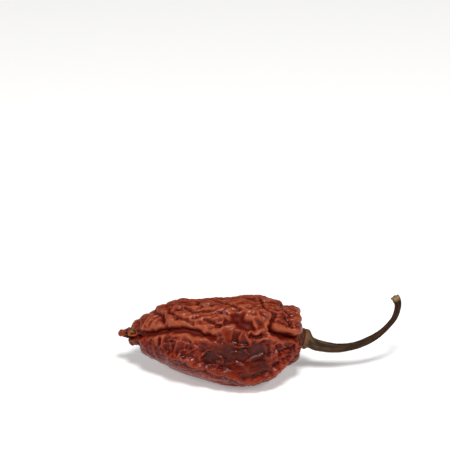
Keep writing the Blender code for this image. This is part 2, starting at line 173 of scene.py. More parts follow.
# ---- Small forms: the tip's knobs and the creases between them, the neck's pleats, the keel's pebbles ----
KNOBBLY_SPAN, KNOB_SIZE, KNOB_HEIGHT, KNOB_SALT = ((0.1, 0.8), (7, 4)), 2.2, 0.7, 41
FINE_KNOB_SIZE, FINE_KNOB_RISE, FINE_KNOB_CREASE, FINE_KNOB_SALT = 1.3, 0.35, 1.8, 43
FINE_KNOB_START, PLEAT_START, PEBBLE_START = (0.3, 1.6), (43, 47), (14, 20)
PLEATS, PLEAT_HEIGHT, PLEAT_WANDER = 9, 0.2, 1.5
PEBBLE_SIZE, PEBBLE_HEIGHT, PEBBLE_SALT = 1.4, 0.7, 47
PEBBLE_DROP, PEBBLE_SPREAD = 3.0, 9.0  # clock degrees: how far below the keel, and how far to each side

# ---- Zones of the skin, as fades: ZONE round the clock, and SPAN, START and END along the pod ----
BODY_FROM_TIP = (3, 9)
FOLDS_START = (1.0, 2.0)
SHOULDER_AT = 40.0  # beyond here the ribs turn in to the neck, and these fades are of a rib's radius
NECK_RADII, LOOSE_RADII = (2.9, 5.0), (3.2, 5.5)
UPPER_ZONE = ((22, 40), (175, 145))
KEEL_START, KEEL_ZONE = (10, 20), ((-15, -24), (-62, -48))
CROSS_END, CROSS_ZONE = (26, 16), ((36, 20), (-60, -35))
HOLLOW_SPAN, HOLLOW_ZONE = ((19, 25), (42, 38.5)), ((28, 17), (-26, -12))
FACET_AT, FACET_SPAN, FACET_ZONE, FACET_FIRMNESS = (31.3, 31), (3.4, 2.2), (14, 9), 1.4
UNDERSIDE_END, UNDERSIDE_ZONE = (32, 24), ((-20, -34), (-120, -95))
LOW_FRONT_END, LOW_FRONT_ZONE = (30, 22), ((20, 0), (-75, -55))

# ---- How the skin settles: bend stiffness and steps, from the coarse wrinkles to the fine ones ----
# ---- The growths are the shares by which the skin is too large, along the pod and round it ----
COARSE, MIDDLE, FINE = (40.0, 200), (8.0, 250), (1.2, 120)
COARSE_GROWTH = FINE_GROWTH = 0.028
GROWTH_ALONG, GROWTH_AROUND, PATCH_GROWTH = 0.025, 0.04, 0.045
CROSS_MORE_ALONG, CROSS_LESS_AROUND, PILLOW_LESS_ALONG = 0.015, 0.02, 0.015
PATCH_SIZE, PATCH_CONTRAST, PATCH_SALT = 7.0, 2.5, 61
SLACK_SIZE, SLACK_FADE, LEAST_SLACK, SLACK_SALT = 5.0, (-0.25, 0.25), 0.3, 62
LESS_DEPTH, LESS_IN_GROOVES, LESS_IN_HOLLOW = (0.5, 1.5), 0.85, 0.7
HOLD_ENDS, HOLD_HOLLOW = 30, 12  # how much firmer the tip and the neck are held, and the hollow
STRETCH_STIFFNESS, FIRMNESS, MOMENTUM = 100.0, 8.0, 0.93
SKIN_ROOM = 0.25  # the pulp has shrunk this far, and BACK_ROOM further, as a share of it, at the back
BACK_ROOM, BACK_FADE = 0.8, (0.2, 0.9)
SHARPEN = 0.8

# ---- The calyx and stem: route in mm from the neck's top, and (share of the length, radius) ----
STEM_ROUTE = (
    (0, 0, 0), (0.8, 0, -0.5), (1.7, 0, -1.2), (3.0, 0, -1.95), (4.4, 0.1, -2.4), (7.0, 0.25, -3.0),
    (9.7, 0.5, -3.25), (12.3, 0.75, -3.05), (15.0, 1.05, -2.4), (17.6, 1.45, -1.3), (20.3, 1.95, 0.35),
    (22.9, 2.4, 3.0), (24.1, 2.6, 4.8), (24.85, 2.85, 7.1), (24.94, 3.0, 8.9), (24.15, 3.2, 10.7),
)
STEM_RADII = (
    (0.0, 2.6), (0.03, 2.65), (0.042, 2.2), (0.062, 1.65), (0.105, 1.5), (0.23, 1.3), (0.31, 1.13),
    (0.385, 1.0), (0.55, 0.9), (0.64, 0.78), (0.745, 0.68), (0.85, 0.74), (0.93, 0.88), (0.975, 1.05),
    (1.0, 1.1),
)
STEM_LENGTH, STEM_SPACING = 40.0, 1.25  # about its length in mm; its rings stand closer at the calyx
CALYX_GAP = 0.3  # air between the calyx and the neck, so that the two meshes don't run into each other
CALYX_SHARE, SQUARE_SHARE, BROKEN_SHARE = (0.075, 0.03), (0.0, 0.12), (0.955, 1.0)
STEM_RIBS, STEM_RIB_HEIGHT, STEM_RIB_START = 5, 0.09, (0.03, 0.1)
STEM_RIDGES = ((3.1, 9.0, 1.0, 71), (7.0, 16.0, 0.6, 72))  # (times round, times along, height, salt)
STEM_SCARS, BROKEN_KNOBS = (1.5, 60.0, 0.03, 73), (2.0, 70.0, 0.35, 74)
RIDGE_HEIGHT, CALYX_CALM, RIDGE_CONTRAST = 0.13, 0.5, 1.6  # the height is a share of the radius

# ---- What the pod's material is told, as fades ----
RIDGE_REACHES = ((3, 0.25), (14, 2.5))  # (blur reach in grid points, height in mm that counts in full)
DARK_SPAN, DARK_ZONE = ((27, 33), (42, 39)), ((20, 10), (-32, -21))  # pulp and painted shade reach the keel
FACET_EDGE, FACET_PALER = (22, 28), 0.55  # less pulp and painted shade on the facet, above the hollow
# The tip's crevices are painted dark as shade where the skin lies below its surroundings.
TIP_FADE, CREVICE_SPAN, CREVICE_RIDGE = (2.4, 1.6), ((1.7, 2.6), (5.5, 4.2)), (0.75, 0.4)
NECK_FADE, NECK_START = (3.9, 3.0), (46.0, 47.5)
FRILL_SPAN, FRILL_START = ((3.0, 3.4), (4.6, 4.0)), (50, 80)
FRILL_SIZE, FRILL_PATCH, FRILL_SALT = 0.8, (-0.15, 0.15), 81
# Painted shade: on the low half round the clock, and down in grooves from these depths in mm.
LOW_ZONE, DEEP_FADE = ((32, 5), (-150, -120)), (0.3, 1.8)

POD_ROWS, POD_COLUMNS = 300, 300
STEM_ROWS, STEM_COLUMNS, PROFILE_POINTS = 420, 72, 2000

# ---- The studio, in metres, watts and degrees: (name, azimuth, elevation, size, power) ----
SOFTBOXES = (
    ("key_softbox", 4, 60, 0.15, 5.9),
    ("right_softbox", 48, 45, 0.2, 1.6),
    ("left_softbox", -48, 38, 0.2, 1.6),
)
SOFTBOX_DISTANCE, SURROUND_STRENGTH, FLOOR_HALF, FLOOR_GLOW = 0.85, 0.12, 2.0, 0.28
VIEW_DISTANCE, VIEW_PITCH, SENSOR_MM = 0.7, 30.0, 36.0
FRAME_PIXELS, FOCAL_PIXELS = 450.0, 2639.0
AIM_RIGHT, AIM_DOWN = 238.1, 336.1  # the pixel on which the axis, over the flat spot, lands

# ---- A Mix node's sockets when it mixes colours; they share their names with its other sockets ----
MIX_SHARE, MIX_FIRST, MIX_SECOND, MIX_RESULT = 0, 6, 7, 2

# ---- Whole-number hashing, for random draws that are the same each run ----
CELL_FACTORS = (0x8DA6B343, 0xD8163841, 0xCB1AB31F)
SALT_FACTOR, LOW_32_BITS, LOW_10_BITS = 0x9E3779B1, 0xFFFFFFFF, 1023
HASH_ROUNDS = ((16, 0x85EBCA6B), (13, 0xC2B2AE35))


def lattice_random(cells, salt):
    """Three pseudo-random numbers from 0 to 1 for each whole-number cell (..., 3), by integer hashing."""
    x, y, z = (cells[..., k].astype(np.uint64) * np.uint64(CELL_FACTORS[k]) for k in range(3))
    mix = x + y + z
    mix = (mix + np.uint64(salt) * np.uint64(SALT_FACTOR)) & np.uint64(LOW_32_BITS)
    for shift, factor in HASH_ROUNDS:
        mix = ((mix ^ (mix >> np.uint64(shift))) * np.uint64(factor)) & np.uint64(LOW_32_BITS)
    mix ^= mix >> np.uint64(16)
    parts = [(mix >> np.uint64(bits)) & np.uint64(LOW_10_BITS) for bits in (0, 10, 20)]
    return np.stack(parts, axis=-1).astype(float) / LOW_10_BITS


def smooth_noise(points, salt):
    """Gradient noise, about -0.7 to 0.7: each lattice corner's random slope, faded between 8 corners."""
    low = np.floor(points)
    inside = points - low
    fade = inside**3 * (inside * (inside * 6 - 15) + 10)
    total = np.zeros(points.shape[:-1])
    for corner in np.ndindex(2, 2, 2):
        slope = lattice_random((low + corner).astype(np.int64), salt) * 2 - 1
        near = np.where(corner, fade, 1 - fade).prod(axis=-1)
        total += near * (slope * (inside - corner)).sum(axis=-1)
    return total


def crease_cells(along, around, count, salt):
    """(nearest, second nearest) distance, in cells, to one random point in each cell of a lattice.

    The lattice closes on itself after count cells round the pod.
    """
    low_x, low_y = np.floor(along), np.floor(around)
    nearest = np.full(along.shape, np.inf)
    second = nearest.copy()
    for step in np.ndindex(3, 3):
        x, y = low_x + step[0] - 1, low_y + step[1] - 1
        spot = lattice_random(np.stack([x, y % count, 0 * x], axis=-1).astype(np.int64), salt)
        away = np.hypot(x + spot[..., 0] - along, y + spot[..., 1] - around)
        second = np.minimum(second, np.maximum(nearest, away))
        nearest = np.minimum(nearest, away)
    return nearest, second


def smoothstep(low, high, value):
    """0 at low, 1 at high, and 3t^2 - 2t^3 between; low may be the larger of the two."""
    share = np.clip((value - low) / (high - low), 0, 1)
    return share * share * (3 - 2 * share)


def within(fades, value):
    """1 between two fades and 0 outside them."""
    start, end = fades
    return smoothstep(*start, value) * smoothstep(*end, value)


def smooth_curve(route, shares):
    """Points on a smooth curve through the route, at shares of its chord length.

    Between two points it is the cubic whose slope at each end is that of the parabola through the point
    and its neighbours.
    """
    knots = np.array(route, float)
    steps = np.linalg.norm(np.diff(knots, axis=0), axis=1)
    reached = np.concatenate([[0], np.cumsum(steps)]) / steps.sum()
    slopes = np.gradient(knots, reached, axis=0)
    span = np.clip(np.searchsorted(reached, shares, side="right") - 1, 0, len(steps) - 1)
    width = (reached[span + 1] - reached[span])[:, None]
    t = (shares - reached[span])[:, None] / width
    return (
        (2 * t**3 - 3 * t**2 + 1) * knots[span]
        + (t**3 - 2 * t**2 + t) * width * slopes[span]
        + (3 * t**2 - 2 * t**3) * knots[span + 1]
        + (t**3 - t**2) * width * slopes[span + 1]
    )


def distance_to_route(along, angle, radius, route):
    """(distance across, share of the length) from each point of the skin to a route.

    The skin is unrolled at its radius, and the nearest of the route's straight stretches counts. Distance
    is positive on the left of the route's way: above a route that runs away from the tip.
    """
    best = np.full(along.shape, 99.0)
    share = np.zeros(along.shape)
    spans = len(route) - 1
    for k, ((x0, a0), (x1, a1)) in enumerate(zip(route, route[1:])):
        turn = (np.degrees(angle) - a0 + 180) % 360 - 180
        dx, dy = along - x0, np.radians(turn) * radius
        ex, ey = x1 - x0, np.radians(a1 - a0) * radius
        t = np.clip((dx * ex + dy * ey) / (ex * ex + ey * ey), 0, 1)
        away = np.hypot(dx - t * ex, dy - t * ey)
        side = np.where(ex * dy - ey * dx < 0, -1.0, 1.0)
        closer = away < np.abs(best)
        best = np.where(closer, away * side, best)
        share = np.where(closer, (k + t) / spans, share)
    return best, share


def fold_relief(along, angle, radius):
    """(height, lean, depth of the dark grooves) of the placed folds, thin creases and thin crests.

    Height is a bell-shaped groove with a lip on each side, and dies out beyond FOLD_REACH. The lean, round
    the pod, is a bell one half width above the groove, so that the upper lip hangs over it.
    """
    height = np.zeros(along.shape)
    lean = np.zeros(along.shape)
    deep = np.zeros(along.shape)
    thin = [(route, CREASE_HALF_WIDTH, CREASE_DEPTH, 0.0, 0.0, 0.0) for route in THIN_CREASES]
    thin += [(route, CREST_HALF_WIDTH, -CREST_HEIGHT, 0.0, 0.0, 0.0) for route in THIN_CRESTS]
    for route, half_width, depth, lip_above, lip_below, overhang in [*FOLDS.values(), *thin]:
        across, share = distance_to_route(along, angle, radius, route)
        inner = smoothstep(0, FOLD_END, share) * smoothstep(0, FOLD_END, 1 - share)
        strength = END_DEPTH + (1 - END_DEPTH) * inner
        beyond = np.abs(across) / half_width
        power = 3 if depth > FLAT_FLOOR_DEPTH else 2
        groove = -depth * np.exp(-(beyond**power))
        lip = np.where(across > 0, lip_above, lip_below) * np.exp(-((beyond - LIP_AT) / LIP_WIDTH) ** 2)
        height += (groove + lip) * strength * np.exp(-np.maximum(0, beyond - FOLD_REACH))
        lean += overhang * inner * np.exp(-(across / half_width - 1) ** 2)
        if depth > DARK_DEPTH and half_width < DARK_HALF_WIDTH:
            deep = np.maximum(deep, -groove * strength)
    return height, lean, deep


def clock_of(angle):
    """An angle in radians as clock degrees from -180 to 180."""
    return np.degrees(angle + np.pi) % 360 - 180


def off_neck(along, mean_radius, radii):
    """1 on the body and 0 on the neck: past the shoulder it fades with the rib's radius."""
    return np.where(along > SHOULDER_AT, smoothstep(*radii, mean_radius), 1.0)


def wrinkle_zones(along, clock):
    """Shares of the skin that have pillows, wrinkles round the pod, and the flat hollow and facet.

    Pillows lie above and on the keel, and wrinkles run round the pod low on the front, towards the tip.
    """
    upper = within(UPPER_ZONE, clock)
    keel = smoothstep(*KEEL_START, along) * within(KEEL_ZONE, clock)
    pillows = np.maximum(upper, keel)
    across = smoothstep(*CROSS_END, along) * within(CROSS_ZONE, clock)
    hollow = within(HOLLOW_SPAN, along) * within(HOLLOW_ZONE, clock)
    facet = smoothstep(*FACET_SPAN, np.abs(along - FACET_AT[0]))
    facet = facet * smoothstep(*FACET_ZONE, np.abs(clock - FACET_AT[1]))
    return pillows, across, np.maximum(hollow, FACET_FIRMNESS * facet)


def underside(along, clock):
    """Share of the skin that is the smoother slope under the keel, towards the tip."""
    return within(UNDERSIDE_ZONE, clock) * smoothstep(*UNDERSIDE_END, along)


def wrinkle_relief(plain, along, angle, clock):
    """Height of the wrinkles.

    Drawn-out noise, folded at zero, makes pillows between narrow creases where it counts up, and crests
    between wide dents where it counts down. Sharp crests also stand along the borders between random
    points' cells. The flat hollow has less of both.
    """
    def net(length, count, crest, dent, salt):
        nearest, second = crease_cells(along / length, angle / (2 * np.pi) * count, count, salt)
        rise = crest * np.exp(-(second - nearest) / CREST_SHARPNESS)
        return rise - dent * (1 - np.minimum(nearest, 1) ** 2)

    def folded(length, width, salt):
        return np.abs(smooth_noise(plain / (length, width, width), salt)) - MEAN_OF_FOLDED

    pillows, across, hollow = wrinkle_zones(along, clock)
    bulges = lengthwise = crosswise = 0
    for length, width, height, salt in WRINKLES:
        bulges = bulges + height * folded(length, width, salt)
        lengthwise = lengthwise + height * folded(length, width, salt + LENGTHWISE_SALT)
        crosswise = crosswise + height * folded(width, length, salt + CROSSWISE_SALT)
    coarse, fine = (net(*settings) for settings in CREST_NETS)
    crest = coarse * (1 - across) + net(*CROSS_NET) * across + fine
    crest = crest - LENGTHWISE_SHARE * lengthwise * (1 - across) - CROSSWISE_SHARE * crosswise * across
    return (bulges * pillows + crest * (1 - pillows)) * (1 - CALM_HOLLOW * hollow)


def place(along, angle, radius):
    """Points on ellipses of a radius, WIDE by TALL, round the pod's axis.

    The axis bends back and down from the flat spot towards the tip, and down towards the neck, by
    BEND_POWER of the distance. Near the neck each point moves along the pod in proportion to its height,
    so that the ribs there lean to the calyx's tilt.
    """
    toward_tip = np.clip((REST_AT - along) / REST_AT, 0, 1) ** BEND_POWER
    y = TIP_BACK * toward_tip - WIDE * radius * np.cos(angle)
    across_z = TALL * radius * np.sin(angle)
    toward_neck = np.clip((along - REST_AT) / (NECK_TOP - REST_AT), 0, 1) ** BEND_POWER
    z = AXIS_HEIGHT - TIP_DROP * toward_tip - NECK_DROP * toward_neck + across_z
    near_neck = smoothstep(*LEAN_RADII, radius) * (along > NECK_TOP - LEAN_LENGTH)
    lean = np.tan(np.radians(SEAT_TILT)) * near_neck
    return np.stack([along + lean * across_z - REST_AT, y, z], axis=-1)


def plain_skin(ribs, angle):
    """(points, distance from the tip, mean radius) of the plain form at ribs (..., 3) and clock angles.

    The radius is the mean of a rib's two reaches plus half their difference times the sine of the angle
    from level to the reaches' line, and it swells at each lobe.
    """
    along, upper, lower = np.moveaxis(ribs, -1, 0)
    mean_radius = (upper + lower) / 2
    radius = mean_radius + (upper - lower) / 2 * np.sin(angle - np.radians(REACH_TILT))
    body = smoothstep(*BODY_FROM_TIP, along) * smoothstep(*LOBES_FROM_NECK, NECK_TOP - along)
    radius = radius * (1 + LOBE_SWELL * body * np.cos(LOBES * (angle - np.radians(LOBE_AT))))
    return place(along, angle, radius), along, mean_radius


def skin_relief(plain, along, angle, mean_radius):
    """(height, lean, groove depth) of all folds, creases, wrinkles and knobs over the plain form.

    Everything wanders a little by slow noise, and the placed folds jitter by quicker noise. The wrinkles
    are lower where the pod is thin, in deep grooves, low on the front and on the underside. Nothing rises
    on the neck.
    """
    clock = clock_of(angle)
    wander = [WANDER * smooth_noise(plain / WANDER_SIZE, salt) for salt in WANDER_SALTS]
    shiver = [JITTER * smooth_noise(plain / JITTER_SIZE, salt) for salt in JITTER_SALTS]
    jitter = [JITTER_WANDER * slow + fast for slow, fast in zip(wander, shiver)]
    wide_radius = np.maximum(mean_radius, THINNEST)
    before_neck = off_neck(along, mean_radius, NECK_RADII)
    body = smoothstep(*FOLDS_START, along) * before_neck
    folds, lean, deep = fold_relief(along + jitter[0], angle + jitter[1] / wide_radius, wide_radius)

    size = np.minimum(mean_radius / FULL_SIZE_RADIUS, 1) * smoothstep(*WRINKLE_START, along) * before_neck
    size = size * (1 - CALM_IN_GROOVES * smoothstep(*CALM_DEPTH, deep))
    size = size * (1 - CALM_LOW_FRONT * within(LOW_FRONT_ZONE, clock) * smoothstep(*LOW_FRONT_END, along))
    size = size * (1 - CALM_UNDERSIDE * underside(along, clock))
    bent = plain + WRINKLE_WANDER * np.stack([wander[1], wander[0], wander[1]], axis=-1)
    wrinkles = wrinkle_relief(bent, along + wander[0], angle + wander[1] / wide_radius, clock)

    tip = within(KNOBBLY_SPAN, along)
    knobs = KNOB_HEIGHT * smooth_noise(plain / KNOB_SIZE, KNOB_SALT)
    creases = FINE_KNOB_CREASE * np.abs(smooth_noise(plain / FINE_KNOB_SIZE, FINE_KNOB_SALT))
    knobs += (FINE_KNOB_RISE - creases) * smoothstep(*FINE_KNOB_START, along)
    pleats = np.cos(PLEATS * angle + PLEAT_WANDER * wander[0])
    pleats = smoothstep(*PLEAT_START, along) * before_neck * pleats
    keel_clock = np.interp(along, *np.transpose(FOLDS["keel"][0]))
    below_keel = (clock - keel_clock + PEBBLE_DROP) / PEBBLE_SPREAD
    on_keel = smoothstep(*PEBBLE_START, along) * before_neck * np.exp(-(below_keel**2))
    pebbles = on_keel * smooth_noise(plain / PEBBLE_SIZE, PEBBLE_SALT)
    height = folds * body + wrinkles * size + knobs * tip
    height = height + PLEAT_HEIGHT * pleats + PEBBLE_HEIGHT * pebbles
    return height, lean * body, deep * body


def normals_of(grid):
    """Outward unit normals of a closed-round grid, from central differences."""
    rise = np.gradient(grid, axis=0)
    around = np.roll(grid, -1, axis=1) - np.roll(grid, 1, axis=1)
    normal = np.cross(rise, around)
    length = np.linalg.norm(normal, axis=-1, keepdims=True)
    return normal / np.maximum(length, 1e-9)


def next_row(grid):
    """Each point's neighbour one row on; the last row keeps itself."""
    return np.concatenate([grid[1:], grid[-1:]])


def last_row(grid):
    """Each point's neighbour one row back; the first row keeps itself."""
    return np.concatenate([grid[:1], grid[:-1]])


def shrink(base, growth_along, growth_around, hold, pull, bend, steps):
    """The skin after its pulp has shrunk under it: it is too large now, and settles into wrinkles.

    Each edge of the grid wants its own length plus its growth, each point is held to the shrunken pulp,
    and the skin's stiffness resists sharp bends. Where pull is 1 the hold is firmer against rising, which
    gives creases between pillows; where it is 0 it is firmer against sinking, which gives crests. Damped
    steps with momentum lower the sum of these energies. The wrinkles come out about 2 pi bend^(1/4) grid
    steps wide.
    """
    outward = normals_of(base)
    slanting = (growth_along + growth_around) / 2
    shifts = ((1, 0, growth_along), (0, 1, growth_around), (1, 1, slanting), (1, -1, slanting))

    def neighbour(grid, rows, columns):
        moved = next_row(grid) if rows else grid
        return np.roll(moved, -columns, axis=1) if columns else moved

    def back(force, rows, columns):
        moved = np.roll(force, columns, axis=1) if columns else force
        return np.concatenate([0 * moved[:1], moved[:-1]]) if rows else moved

    def laplacian(grid):
        rows = next_row(grid) + last_row(grid)
        return rows + np.roll(grid, 1, axis=1) + np.roll(grid, -1, axis=1) - 4 * grid

    lengths = []
    for rows, columns, growth in shifts:
        length = np.linalg.norm(neighbour(base, rows, columns) - base, axis=-1, keepdims=True)
        lengths.append(length * (1 + growth[..., None]))
    skin, speed = base.copy(), np.zeros_like(base)
    # A step is no longer than one over the steepest slope of the forces, so the sum can't run away.
    rate = 1.0 / (STRETCH_STIFFNESS * 10 + bend * 64 + hold.max() * (1 + FIRMNESS))
    for _ in range(steps):
        moved = skin - base
        sunk = (moved * outward).sum(axis=-1) < 0
        firm = 1 + FIRMNESS * np.where(sunk, 1 - pull, pull)
        force = -(hold * firm)[..., None] * moved
        force -= bend * laplacian(laplacian(moved))
        for (rows, columns, _), length in zip(shifts, lengths):
            edge = neighbour(skin, rows, columns) - skin
            now = np.linalg.norm(edge, axis=-1, keepdims=True)
            tug = edge * (STRETCH_STIFFNESS * (1 - length / np.maximum(now, 1e-6)))
            if rows:
                tug[-1] = 0
            force += tug - back(tug, rows, columns)
        speed = MOMENTUM * speed + rate * force
        skin += speed
    return skin


def blur(grid, reach):
    """The grid averaged over a square of 2 * reach + 1 points each way, twice over."""
    for _ in range(2):
        ends = [np.repeat(grid[:1], reach, axis=0), grid, np.repeat(grid[-1:], reach, axis=0)]
        total = np.cumsum(np.concatenate([0 * grid[:1], *ends]), axis=0)
        grid = (total[2 * reach + 1:] - total[:-2 * reach - 1]) / (2 * reach + 1)
        wrapped = np.concatenate([0 * grid[:, :1], grid[:, -reach:], grid, grid[:, :reach]], axis=1)
        total = np.cumsum(wrapped, axis=1)
        grid = (total[:, 2 * reach + 1:] - total[:, :-2 * reach - 1]) / (2 * reach + 1)
    return grid


def settled_skin(body, plain, along, clock, mean_radius, deep):
    """The skin settled in three rounds, each with finer wrinkles than the last, and then sharpened.

    How much it is too large varies from patch to patch, and there is less of it in deep grooves, in the
    flat hollow and on the underside. The tip, the neck and the hollow are held firm. Sharpening moves each
    point away from the mean of its neighbours.
    """
    pillows, across, hollow = wrinkle_zones(along, clock)
    loose = smoothstep(*BODY_FROM_TIP, along) * off_neck(along, mean_radius, LOOSE_RADII)
    hold = 1 + HOLD_ENDS * (1 - loose) + HOLD_HOLLOW * hollow
    free = loose * (1 - LESS_IN_GROOVES * smoothstep(*LESS_DEPTH, deep))
    free = free * np.maximum(1 - LESS_IN_HOLLOW * hollow, 0)
    free = free * (1 - CALM_UNDERSIDE * underside(along, clock))
    coarse = COARSE_GROWTH * free
    body = shrink(body, coarse, coarse, hold, pillows, *COARSE)

    patch = 0.5 + 0.5 * np.clip(PATCH_CONTRAST * smooth_noise(plain / PATCH_SIZE, PATCH_SALT), -1, 1)
    slack = smoothstep(*SLACK_FADE, smooth_noise(plain / SLACK_SIZE, SLACK_SALT))
    slack = free * (LEAST_SLACK + (1 - LEAST_SLACK) * slack)
    more_along = GROWTH_ALONG + PATCH_GROWTH * patch + CROSS_MORE_ALONG * across
    more_along = more_along - PILLOW_LESS_ALONG * pillows
    more_around = GROWTH_AROUND + PATCH_GROWTH * (1 - patch) - CROSS_LESS_AROUND * across
    body = shrink(body, more_along * slack, more_around * slack, hold, pillows, *MIDDLE)

    fine = FINE_GROWTH * slack
    body = shrink(body, fine, fine, hold, pillows, *FINE)
    return body + SHARPEN * free[..., None] * (body - blur(body, 1))


def pod_surface():
    """(grid, groove depth) of the pod's skin: rings from the tip to the neck's middle.

    Each point of the plain form moves along its normal by the relief, less the room that the pulp has
    left, and round the pod by the lean; then the skin settles. The neck's rings close it.
    """
    rows, columns = POD_ROWS - len(NECK_RINGS), POD_COLUMNS
    angle = np.linspace(0, 2 * np.pi, columns, endpoint=False)[None, :] + np.zeros((rows, 1))
    ribs = smooth_curve(RIBS, np.linspace(0, 1, rows))[:, None] + np.zeros((1, columns, 1))
    plain, along, mean_radius = plain_skin(ribs, angle)
    height, lean, deep = skin_relief(plain, along, angle, mean_radius)
    down = np.roll(plain, 1, axis=1) - np.roll(plain, -1, axis=1)
    down /= np.linalg.norm(down, axis=-1, keepdims=True) + 1e-9
    at_back = smoothstep(*BACK_FADE, -np.cos(angle))
    room = SKIN_ROOM * smoothstep(*BODY_FROM_TIP, along) * (1 + BACK_ROOM * at_back)
    body = plain + normals_of(plain) * (height - room)[..., None] + down * lean[..., None]
    body = settled_skin(body, plain, along, clock_of(angle), mean_radius, deep)
    rings = [place(s + 0 * angle[:1], angle[:1], radius + 0 * angle[:1]) for s, radius in NECK_RINGS]
    grid = np.concatenate([body, *rings])
    grid[..., 2] = np.maximum(grid[..., 2], 0.0)
    return grid, np.concatenate([deep, np.zeros((len(NECK_RINGS), columns))])


def stem_surface():
    """(grid, share of the length, ridges) of the calyx and stem.

    Rings are carried along STEM_ROUTE, square to it, with their radius read from STEM_RADII, and the first
    ones square to the calyx's axis. Ribs run the stem's length, with finer ridges, drawn out lengthwise,
    between them, and the broken end is knobbly. The ridges are noise on a tube of radius and length 1.
    """
    shares = np.linspace(0, 1, STEM_ROWS) ** STEM_SPACING
    centres = smooth_curve(STEM_ROUTE, shares)
    ahead = np.gradient(centres, axis=0)
    ahead /= np.linalg.norm(ahead, axis=1, keepdims=True)
    tilt = np.radians(SEAT_TILT)
    seat = np.array([np.cos(tilt), 0, -np.sin(tilt)])
    ahead = seat + (ahead - seat) * smoothstep(*SQUARE_SHARE, shares)[:, None]
    ahead /= np.linalg.norm(ahead, axis=1, keepdims=True)
    side = np.cross(ahead, (0, 1, 0))
    side /= np.linalg.norm(side, axis=1, keepdims=True)
    front = np.cross(ahead, side)

    known = np.array(STEM_RADII)
    profile = np.stack([known[:, 0] * STEM_LENGTH, known[:, 1]], axis=1)
    profile = smooth_curve(profile, np.linspace(0, 1, PROFILE_POINTS))
    radius = np.interp(shares, profile[:, 0] / STEM_LENGTH, profile[:, 1])[:, None]
    angle = np.linspace(0, 2 * np.pi, STEM_COLUMNS, endpoint=False)[None, :]
    flat = 0 * radius
    tube = np.stack([np.cos(angle) + flat, np.sin(angle) + flat, shares[:, None] + 0 * angle], axis=-1)

    def on_tube(round_it, along_it, height, salt):
        return height * smooth_noise(tube * (round_it, round_it, along_it), salt)

    ridges = sum(on_tube(*settings) for settings in STEM_RIDGES)
    calyx = smoothstep(*CALYX_SHARE, shares)[:, None]
    broken = smoothstep(*BROKEN_SHARE, shares)[:, None]
    rib_share = smoothstep(*STEM_RIB_START, shares)[:, None]
    radius = radius + STEM_RIB_HEIGHT * np.cos(STEM_RIBS * angle) * rib_share
    radius = radius * (1 + RIDGE_HEIGHT * ridges * (1 - CALYX_CALM * calyx)) + on_tube(*STEM_SCARS)
    radius = radius * (1 + broken * on_tube(*BROKEN_KNOBS))
    ring = side[:, None] * np.cos(angle)[..., None] + front[:, None] * np.sin(angle)[..., None]
    grid = centres[:, None] + radius[..., None] * ring
    base = place(np.array([NECK_TOP]), np.array([0.0]), np.array([0.0]))[0]
    return grid + base + CALYX_GAP * seat, shares, ridges


def closed_mesh(name, grid, material, facts):
    """An object from a grid of rings: quads between rings, and each end closed by a fan on its middle.

    facts are numbers for each grid point, kept as point attributes for the material.
    """
    rings, columns = grid.shape[:2]
    points = np.concatenate([grid[:1].mean(axis=1), grid.reshape(-1, 3), grid[-1:].mean(axis=1)]) * MM
    spots = 1 + np.arange(rings * columns).reshape(rings, columns)
    ahead = np.roll(spots, -1, axis=1)
    quads = np.stack([spots[:-1], ahead[:-1], ahead[1:], spots[1:]], axis=-1).reshape(-1, 4)
    last = rings * columns + 1
    start = np.stack([0 * spots[0], ahead[0], spots[0]], axis=-1)
    end = np.stack([0 * spots[-1] + last, spots[-1], ahead[-1]], axis=-1)
    mesh = bpy.data.meshes.new(name)
    mesh.from_pydata(points.tolist(), [], quads.tolist() + start.tolist() + end.tolist())
    mesh.polygons.foreach_set("use_smooth", np.ones(len(mesh.polygons), bool))
    for fact, values in facts.items():
        middles = [values[:1].mean(), values[-1:].mean()]
        whole = np.concatenate([middles[:1], values.ravel(), middles[1:]]).astype(np.float32)
        mesh.attributes.new(fact, "FLOAT", "POINT").data.foreach_set("value", whole)
    mesh.materials.append(material)
    made = bpy.data.objects.new(name, mesh)
    bpy.context.scene.collection.objects.link(made)
    return made


def rgb(hex_colour):
    """The linear RGBA of an sRGB hex colour."""
    parts = np.array([int(hex_colour[k:k + 2], 16) for k in (1, 3, 5)]) / 255
    return (*np.where(parts <= 0.04045, parts / 12.92, ((parts + 0.055) / 1.055) ** 2.4), 1.0)


def scale_for(size):
    """A texture node's Scale, in cells per metre, for cells of a size in millimetres."""
    return 1 / (size * MM)


def add_node(tree, kind, inputs=None, **settings):
    """One shader node with its settings and its inputs: plain values, or another node's output socket."""
    made = tree.nodes.new(kind)
    for name, value in settings.items():
        setattr(made, name, value)
    for name, value in (inputs or {}).items():
        if isinstance(value, bpy.types.NodeSocket):
            tree.links.new(value, made.inputs[name])
        else:
            made.inputs[name].default_value = value
    return made


def new_material(name):
    """(material, its node tree, its Principled shader)."""
    material = bpy.data.materials.new(name)
    material.use_nodes = True
    return material, material.node_tree, material.node_tree.nodes["Principled BSDF"]


